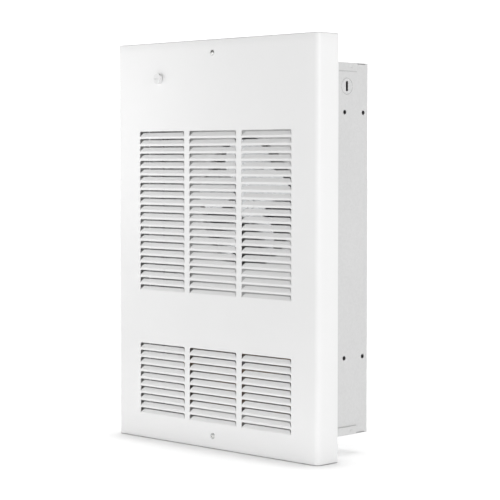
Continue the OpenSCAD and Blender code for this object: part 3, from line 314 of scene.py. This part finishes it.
def galvanised(name, colour, metallic=0.35):
    """Zinc-coated sheet: small crystals, dull patches and rolling lines, with painted shade that
    darkens it in seams and creases.
    """
    paint = Paint(name, Metallic=metallic)
    crystal = paint.cells(320.0)
    patch = paint.noise(14.0, 4.0)
    lines = paint.noise(1.0, 2.0, paint.stretched((900.0, 900.0, 12.0)))
    # Painted shade: an ambient-occlusion mask that is darker within 3.5 mm of other surfaces, in
    # seams and creases where shade falls
    painted_crease_shade = paint.add("ShaderNodeAmbientOcclusion", {"Distance": mm(3.5)}, samples=8).outputs["AO"]
    dark, light = shades(colour, 0.96, 1.02)
    tint = paint.times(paint.ramp(crystal, [(0.0, dark), (1.0, light)]),
                       paint.ramp(patch, [(0.35, (0.98, 0.98, 0.98)), (0.7, (1, 1, 1))]))
    # The painted shade darkens the colour to 0.6 of itself in the tightest seams and creases
    tint = paint.times(tint, paint.ramp(painted_crease_shade, [(0.5, (0.6, 0.6, 0.6)), (0.95, (1, 1, 1))]))
    rough = paint.grey(crystal, 0.38, 0.50, 0.0, 1.0)
    return paint.finish(tint, rough, paint.bump(lines, 0.08, 0.05))


def plated(name, colour, roughness=0.28):
    """Plated or turned metal with fine marks round it."""
    paint = Paint(name, Metallic=1.0)
    marks = paint.noise(1.0, 2.0, paint.stretched((300.0, 4000.0, 300.0)))
    dark, light = shades(colour, 0.9, 1.05)
    tint = paint.ramp(paint.noise(180.0, 3.0), [(0.3, dark), (0.7, light)])
    return paint.finish(tint, paint.grey(marks, roughness - 0.08, roughness + 0.1),
                        paint.bump(marks, 0.1, 0.05))


def laminated(name, colour):
    """Stacked thin plates, seen as lines across the Y axis."""
    paint = Paint(name, Metallic=0.8)
    inputs = {"Vector": paint.place, "Scale": 320.0, "Distortion": 0.6}
    stack = paint.add("ShaderNodeTexWave", inputs, bands_direction="Y").outputs["Fac"]
    dark, light = shades(colour, 0.55, 1.1)
    tint = paint.ramp(stack, [(0.1, dark), (0.5, light)])
    return paint.finish(tint, paint.grey(stack, 0.6, 0.45, 0.0, 1.0), paint.bump(stack, 0.5, 0.2))


def coil_wire(name, colour):
    """Close turns of enamelled wire."""
    paint = Paint(name, Metallic=0.7, Coat_Weight=0.6)
    inputs = {"Vector": paint.place, "Scale": 420.0, "Distortion": 1.2, "Detail": 1.0}
    turns = paint.add("ShaderNodeTexWave", inputs, bands_direction="DIAGONAL").outputs["Fac"]
    dark, light = shades(colour, 0.35, 1.15)
    tint = paint.ramp(turns, [(0.1, dark), (0.6, light)])
    return paint.finish(tint, paint.grey(turns, 0.5, 0.3, 0.0, 1.0), paint.bump(turns, 0.8, 0.3))


def heated_steel(name, colour):
    """Steel that has been hot: browned and bluish bands with a dull skin."""
    paint = Paint(name, Metallic=0.9)
    band = paint.noise(1.0, 3.0, paint.stretched((18.0, 60.0, 60.0)))
    blue = tuple(c * s for c, s in zip(colour, (0.75, 0.85, 1.1)))
    brown = tuple(c * s for c, s in zip(colour, (1.2, 1.0, 0.8)))
    tint = paint.ramp(band, [(0.3, blue), (0.5, colour), (0.7, brown)])
    return paint.finish(tint, paint.grey(band, 0.42, 0.6),
                        paint.bump(paint.noise(1500.0), 0.2, 0.05))


def moulded(name, colour, roughness=0.45, grain=0.15):
    """Moulded plastic: fine mould texture and slight shade changes."""
    paint = Paint(name, IOR=1.48)
    cloud = paint.noise(60.0, 3.0)
    dark, light = shades(colour, 0.94, 1.03)
    tint = paint.ramp(cloud, [(0.3, dark), (0.7, light)])
    return paint.finish(tint, paint.grey(cloud, roughness - 0.05, roughness + 0.05),
                        paint.bump(paint.noise(1800.0, 1.0), grain, 0.08))


def fired_ceramic(name, colour):
    """Unglazed ceramic with pores and a chalky skin."""
    paint = Paint(name, IOR=1.55)
    pores = paint.noise(1400.0, 4.0)
    dark, light = shades(colour, 0.8, 1.02)
    tint = paint.ramp(pores, [(0.25, dark), (0.45, light)])
    return paint.finish(tint, paint.grey(pores, 0.75, 0.6), paint.bump(pores, 0.3, 0.1))


MATERIALS = {
    "white_enamel": powder_coat("white_enamel", (0.82, 0.82, 0.82)),
    "galvanised": galvanised("galvanised", (0.64, 0.64, 0.64)),
    "zinc": plated("zinc", (0.66, 0.66, 0.65)),
    "motor_steel": plated("motor_steel", (0.62, 0.62, 0.63), 0.35),
    "core_steel": laminated("core_steel", (0.22, 0.22, 0.23)),
    "coil_copper": coil_wire("coil_copper", (0.62, 0.27, 0.11)),
    "bush_bronze": plated("bush_bronze", (0.60, 0.40, 0.20), 0.4),
    "fan_aluminium": plated("fan_aluminium", (0.78, 0.79, 0.80), 0.32),
    "sheath": heated_steel("sheath", (0.30, 0.27, 0.25)),
    "fin_steel": heated_steel("fin_steel", (0.60, 0.56, 0.52)),
    "ceramic": fired_ceramic("ceramic", (0.84, 0.80, 0.72)),
    "phenolic": moulded("phenolic", (0.78, 0.72, 0.58), 0.5),
    "white_plastic": moulded("white_plastic", (0.755, 0.755, 0.755), 0.35, 0.08),
    "black_plastic": moulded("black_plastic", (0.025, 0.025, 0.028), 0.42),
    "red_plastic": moulded("red_plastic", (0.55, 0.03, 0.02), 0.35, 0.08),
    "green_screw": plated("green_screw", (0.05, 0.30, 0.10), 0.35),
    "red_wire": moulded("red_wire", (0.45, 0.04, 0.03), 0.4, 0.1),
    "black_wire": moulded("black_wire", (0.03, 0.03, 0.03), 0.4, 0.1),
    "white_wire": moulded("white_wire", (0.75, 0.75, 0.72), 0.45, 0.1),
}


# ---------- Front cover ----------

COVER_LOW, COVER_HIGH = (corner * 1000 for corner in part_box("front_cover"))
FRONT_Y, WALL_Y = COVER_LOW.y, COVER_HIGH.y
HALF_W = COVER_HIGH.x
TOP_Z, BOTTOM_Z = COVER_HIGH.z, COVER_LOW.z


def same(a, b):
    return abs(a - b) < TOUCH


def grid_lines():
    """Lines that cut the front into cells, so that every hole has a cell of its own."""
    half = LOUVER_W / 2 + CELL_SIDE
    xs = [side * (HALF_W - FOLD_R) for side in (-1, 1)] + [side * SCREW_CELL for side in (-1, 1)]
    xs += [KNOB_X + side * KNOB_CELL for side in (-1, 1)]
    xs += [x + side * half for x in COLUMN_X for side in (-1, 1)]
    zs = [BOTTOM_Z + EDGE_R, TOP_Z - EDGE_R] + [KNOB_Z + side * KNOB_CELL for side in (-1, 1)]
    zs += [z + side * SCREW_CELL for z in SCREW_Z for side in (-1, 1)]
    zs += [first + CELL_TOP - row * PITCH for first, rows in ROWS for row in range(rows + 1)]
    return sorted(xs), sorted(zs)


def cell_sides(x0, x1, z0, z1, xs):
    """A cell's four sides, anticlockwise from the bottom, with the grid lines that meet them."""
    across = [x for x in xs if x0 <= x <= x1]
    bottom = [(x, FRONT_Y, z0) for x in across]
    top = [(x, FRONT_Y, z1) for x in reversed(across)]
    return [bottom, [bottom[-1], top[0]], top, [top[-1], bottom[0]]]


def round_hole(centre, radius):
    """The outline of a round hole as four stretches, anticlockwise from the bottom."""
    return [[(x, FRONT_Y, z) for x, z in arc(centre, radius, start, start + 90, HOLE_STEPS)]
            for start in (-135, -45, 45, 135)]


def louver_hole(x, fold_z):
    """The outline of a louver's opening as four stretches, anticlockwise from the fold."""
    half, top = LOUVER_W / 2, fold_z + LOUVER_H
    fold = [(x + side, fold_z) for side in (-half, LANCE_GAP - half, half - LANCE_GAP, half)]
    right = arc((x + half - CORNER_R, top - CORNER_R), CORNER_R, 0, 90, CORNER_STEPS)
    left = arc((x - half + CORNER_R, top - CORNER_R), CORNER_R, 90, 180, CORNER_STEPS)
    stretches = [fold, [fold[-1], *right], [right[-1], left[0]], [*left, fold[0]]]
    return [[(a, FRONT_Y, b) for a, b in stretch] for stretch in stretches]


def louver_blade(sheet, x, fold_z):
    """A blade: it bends inward from the fold and gets narrower to its upper edge."""
    lean = math.radians(BLADE_LEAN)
    rows = []
    for i in range(BLADE_STEPS + 1):
        share = math.sin(math.pi / 2 * i / BLADE_STEPS)
        run = BLADE_LEN * share
        bend = min(run / BLADE_BEND_R, lean)
        straight = run - BLADE_BEND_R * bend
        y = FRONT_Y + BLADE_BEND_R * (1 - math.cos(bend)) + straight * math.sin(lean)
        z = fold_z + BLADE_BEND_R * math.sin(bend) + straight * math.cos(lean)
        half = LOUVER_W / 2 - LANCE_GAP - BLADE_END * share ** BLADE_ROUND
        rows.append([(x - half, y, z), (x + half, y, z)])
    for low, high in zip(rows, rows[1:]):
        sheet.face([*low, *reversed(high)])


def cover_front(sheet, xs, zs):
    """The flat front: plain cells, and cells with a louver, the knob's hole or a screw's hole."""
    folds = {round(first + CELL_TOP - (row + 1) * PITCH, 2): first - LOUVER_H - row * PITCH
             for first, rows in ROWS for row in range(rows)}
    reach = LOUVER_W / 2 + CELL_SIDE - TOUCH
    for z0, z1 in zip(zs, zs[1:]):
        fold_z = folds.get(round(z0, 2))
        cuts = [x for x in xs
                if fold_z is None or all(abs(x - column) > reach for column in COLUMN_X)]
        for x0, x1 in zip(cuts, cuts[1:]):
            sides = cell_sides(x0, x1, z0, z1, xs)
            middle = ((x0 + x1) / 2, (z0 + z1) / 2)
            hole = next((h for h in HOLES
                         if same(h[0], middle[0]) and same(h[1], middle[1])), None)
            if fold_z is not None and any(same(column, middle[0]) for column in COLUMN_X):
                sheet.ring_cell(sides, louver_hole(middle[0], fold_z))
                louver_blade(sheet, middle[0], fold_z)
            elif hole:
                sheet.ring_cell(sides, round_hole(hole, HOLES[hole]))
            else:
                sheet.face(sides[0] + sides[2])


def plan_ring(xs, inset, z):
    """The cover's outline seen from above, from its left rear edge round to the right one."""
    side = HALF_W - inset
    rear = arc((side - REAR_R, WALL_Y - REAR_R), REAR_R, 90, 0, REAR_STEPS)
    fold = arc((HALF_W - FOLD_R, FRONT_Y + FOLD_R), FOLD_R - inset, 0, -90, FOLD_STEPS)
    right = rear + fold
    front = [(x, FRONT_Y + inset) for x in xs[1:-1]]
    return [(x, y, z) for x, y in [(-x, y) for x, y in right] + front + right[::-1]]


def cover_walls(sheet, xs, zs):
    """Folds, sides, rounded top and bottom edges, end faces and the flange at the wall."""
    turns = [math.pi / 2 * i / EDGE_STEPS for i in range(1, EDGE_STEPS + 1)]
    edge = [(EDGE_R * (1 - math.cos(turn)), EDGE_R * math.sin(turn)) for turn in turns]
    rings = [plan_ring(xs, inset, zs[0] - up) for inset, up in reversed(edge)]
    rings += [plan_ring(xs, 0, z) for z in zs]
    rings += [plan_ring(xs, inset, zs[-1] + up) for inset, up in edge]
    for low, high in zip(rings, rings[1:]):
        for a, b, c, d in zip(low, low[1:], high[1:], high):
            if not all(same(p[1], FRONT_Y) for p in (a, b, c, d)):
                sheet.face([a, b, c, d])
    sheet.face(rings[0])
    sheet.face(rings[-1])
    x, low_z, high_z = HALF_W - RETURN_W, BOTTOM_Z + RETURN_W, TOP_Z - RETURN_W
    for side, end in ((-1, 0), (1, -1)):
        sheet.face([ring[end] for ring in rings]
                   + [(side * x, WALL_Y, high_z), (side * x, WALL_Y, low_z)])
    for ring, z in ((rings[0], low_z), (rings[-1], high_z)):
        sheet.face([ring[0], ring[-1], (x, WALL_Y, z), (-x, WALL_Y, z)])


def make_cover():
    """The cover: a surface in the place of the sheet's outside, given the sheet's thickness."""
    sheet = Sheet()
    xs, zs = grid_lines()
    cover_front(sheet, xs, zs)
    cover_walls(sheet, xs, zs)
    cover = new_object("cover_sheet", sheet.bm, MATERIALS["white_enamel"])
    smooth(cover)
    thick = cover.modifiers.new("sheet", "SOLIDIFY")
    thick.thickness = mm(SHEET)
    thick.offset = -1
    thick.use_even_offset = True
    bevel(cover, COVER_BEVEL)
    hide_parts("front_cover")
    return cover


# ---------- CAD pieces ----------

# Width of the rounded edge on the pieces of each finish; the other finishes have none
EDGES = {"galvanised": 0.25, "zinc": 0.2, "motor_steel": 0.5, "fan_aluminium": 0.3,
         "white_plastic": 0.6, "black_plastic": 0.4, "red_plastic": 0.4, "phenolic": 0.4}


def dress(record):
    """Every CAD piece gets its finish, and a rounded edge where its finish has one."""
    for part in record["subparts"]:
        slot, obj = part["material_slot"], frame["nodes"][part["node"]]
        obj.data.materials.clear()
        obj.data.materials.append(MATERIALS[slot])
        if slot in EDGES:
            bevel(obj, EDGES[slot])


# ---------- Stage ----------

def make_floor():
    """A pale floor just under the heater."""
    floor_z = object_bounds()[0].z - mm(FLOOR_GAP)
    half = mm(FLOOR_SIZE) / 2
    mesh = bpy.data.meshes.new("floor")
    corners = [(-half, -half), (half, -half), (half, half), (-half, half)]
    mesh.from_pydata([(x, y, floor_z) for x, y in corners], [], [(0, 1, 2, 3)])
    paint = Paint("floor", Roughness=0.9, IOR=1.2)
    dark, light = ((tone, tone, tone) for tone in FLOOR_TONES)
    tint = paint.ramp(paint.noise(3.0), [(0.3, dark), (0.7, light)])
    mesh.materials.append(paint.finish(tint))
    floor = bpy.data.objects.new("floor", mesh)
    bpy.context.scene.collection.objects.link(floor)
    floor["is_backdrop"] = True
    return floor


def link_group(name, member, state="INCLUDE"):
    """A group for light linking: one object alone, or with EXCLUDE all the others."""
    group = bpy.data.collections.new(name)
    group.objects.link(member)
    group.collection_objects[0].light_linking.link_state = state
    return group


def new_light(name, kind, energy, towards):
    """A light whose rays come from the given direction."""
    obj = bpy.data.objects.new(name, bpy.data.lights.new(name, kind))
    obj.data.energy = energy
    obj.rotation_euler = towards.to_track_quat("Z", "Y").to_euler()
    bpy.context.scene.collection.objects.link(obj)
    return obj


def make_sky():
    """White light that comes from all round at a low height, and hardly from above."""
    world = bpy.data.worlds.new("studio")
    world.use_nodes = True
    tree = world.node_tree
    place = tree.nodes.new("ShaderNodeTexCoord")
    split = tree.nodes.new("ShaderNodeSeparateXYZ")
    fall = tree.nodes.new("ShaderNodeMapRange")
    fall.interpolation_type = "SMOOTHSTEP"
    for name, value in zip(("From Min", "From Max", "To Min", "To Max"),
                           (*SKY_FALL, SKY_LIGHT, SKY_HIGH_LIGHT)):
        fall.inputs[name].default_value = value
    tree.links.new(place.outputs["Generated"], split.inputs[0])
    tree.links.new(split.outputs["Z"], fall.inputs["Value"])
    tree.links.new(fall.outputs[0], tree.nodes["Background"].inputs["Strength"])
    tree.nodes["Background"].inputs["Color"].default_value = (1, 1, 1, 1)
    bpy.context.scene.world = world


def make_lights(floor, cover):
    """Lamps for the heater alone, and suns overhead for the floor alone."""
    heater_only = link_group("heater_only", floor, "EXCLUDE")
    for name, place, aim, size, watts in AREA_LIGHTS:
        obj = new_light(name, "AREA", watts, mm(*place) - mm(*aim))
        obj.location = mm(*place)
        obj.data.shape = "RECTANGLE"
        obj.data.size, obj.data.size_y = (mm(s) for s in size)
        obj.light_linking.receiver_collection = heater_only
    floor_only = link_group("floor_only", floor)
    for name, strength, angle in FLOOR_SUNS:
        sun = new_light(name, "SUN", strength, Vector(SUN_TOWARDS))
        sun.data.angle = math.radians(angle)
        sun.light_linking.receiver_collection = floor_only
        # The foot's line is the cover's alone, so nothing else stops this sun
        if name == "foot_sun":
            sun.light_linking.blocker_collection = link_group("cover_only", cover)


def make_camera():
    """The camera that matches the photograph."""
    azimuth, pitch = math.radians(CAMERA_AZIMUTH), math.radians(CAMERA_PITCH)
    level = math.cos(pitch)
    back = Vector((math.sin(azimuth) * level, -math.cos(azimuth) * level, math.sin(pitch)))
    data = bpy.data.cameras.new("camera")
    data.lens = CAMERA_LENS
    data.sensor_width = CAMERA_SENSOR
    data.clip_end = CAMERA_CLIP
    camera = bpy.data.objects.new("camera", data)
    camera.location = mm(*CAMERA_AIM) + back * mm(CAMERA_DISTANCE)
    camera.rotation_mode = "QUATERNION"
    camera.rotation_quaternion = (-back).to_track_quat("-Z", "Y")
    bpy.context.scene.collection.objects.link(camera)
    bpy.context.scene.camera = camera
    bpy.context.scene.view_settings.view_transform = "Standard"


make_camera()
dress(frame["record"])
make_sky()
make_lights(make_floor(), make_cover())
